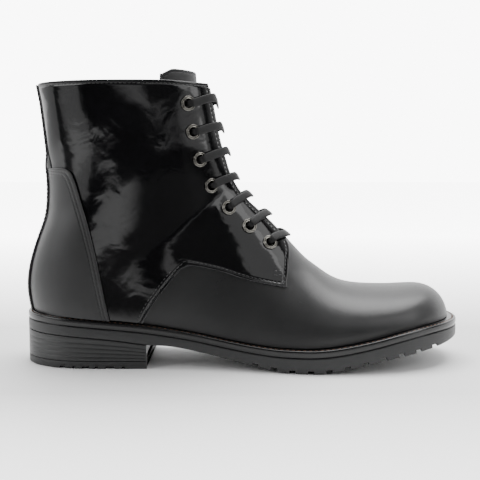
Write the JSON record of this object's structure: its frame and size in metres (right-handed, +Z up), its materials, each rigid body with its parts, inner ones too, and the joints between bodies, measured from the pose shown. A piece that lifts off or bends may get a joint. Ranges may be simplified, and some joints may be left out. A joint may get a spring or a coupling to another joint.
{
  "type": "lace-up boot",
  "caption": "Right-foot black lace-up ankle boot: patent quarters, smooth vamp and heel panel, bar-laced metal eyelets, leaning tongue, stitched welt, stacked heel and lugged rubber sole.",
  "frame": {"origin": "bottom centre of the bounding box, on the ground under the boot", "axes": "+X toward the toe, +Y toward the inner (medial) side, +Z up"},
  "size_m": [0.3044, 0.1142, 0.2013],
  "materials": {
    "patent_leather": "black patent, high gloss",
    "smooth_leather": "black smooth calf, soft shine",
    "lining_leather": "dark blue lining leather, matt",
    "grip_suede": "brown suede heel grip",
    "sock_leather": "dark tan sock leather",
    "fibre_board": "fibre board",
    "waxed_lace": "flat waxed lace",
    "eyelet_metal": "antique nickel on brass",
    "aglet_metal": "dull metal",
    "welt_leather": "black edge-dressed welt",
    "sole_rubber": "black rubber, matt",
    "heel_stack": "moulded stacked heel, fine lines",
    "cork": "ground cork filler",
    "spring_steel": "spring steel"
  },
  "bodies": {
    "boot": {"quarter_lateral": "patent_leather", "quarter_lining_lateral": "lining_leather", "counter_panel_lateral": "smooth_leather", "quarter_medial": "patent_leather", "quarter_lining_medial": "lining_leather", "counter_panel_medial": "smooth_leather", "back_strip": "smooth_leather", "vamp": "smooth_leather", "vamp_lining": "lining_leather", "toe_puff": "fibre_board", "heel_stiffener": "fibre_board", "heel_grip_lining": "grip_suede", "eyelet_lateral_1": "eyelet_metal", "eyelet_lateral_2": "eyelet_metal", "eyelet_lateral_3": "eyelet_metal", "eyelet_lateral_4": "eyelet_metal", "eyelet_lateral_5": "eyelet_metal", "eyelet_lateral_6": "eyelet_metal", "eyelet_lateral_7": "eyelet_metal", "eyelet_medial_1": "eyelet_metal", "eyelet_medial_2": "eyelet_metal", "eyelet_medial_3": "eyelet_metal", "eyelet_medial_4": "eyelet_metal", "eyelet_medial_5": "eyelet_metal", "eyelet_medial_6": "eyelet_metal", "eyelet_medial_7": "eyelet_metal", "lace": "waxed_lace", "lace_end_lateral": "waxed_lace", "aglet_lateral": "aglet_metal", "lace_end_medial": "waxed_lace", "aglet_medial": "aglet_metal", "welt": "welt_leather", "outsole": "sole_rubber", "heel_block": "heel_stack", "heel_top_lift": "sole_rubber", "cork_filler": "cork", "shank": "spring_steel", "insole_board": "fibre_board", "sock_liner": "sock_leather"},
    "tongue": {"tongue": "smooth_leather", "tongue_lining": "lining_leather"}
  },
  "joints": [
    {"name": "tongue_hinge", "type": "hinge", "parent": "boot", "child": "tongue", "pos_m": [0.03147, -0.00273, 0.07546], "axis": [0, 1, 0], "range_deg": [-9, 1], "stiffness_Nm_per_rad": 0.6}
  ]
}
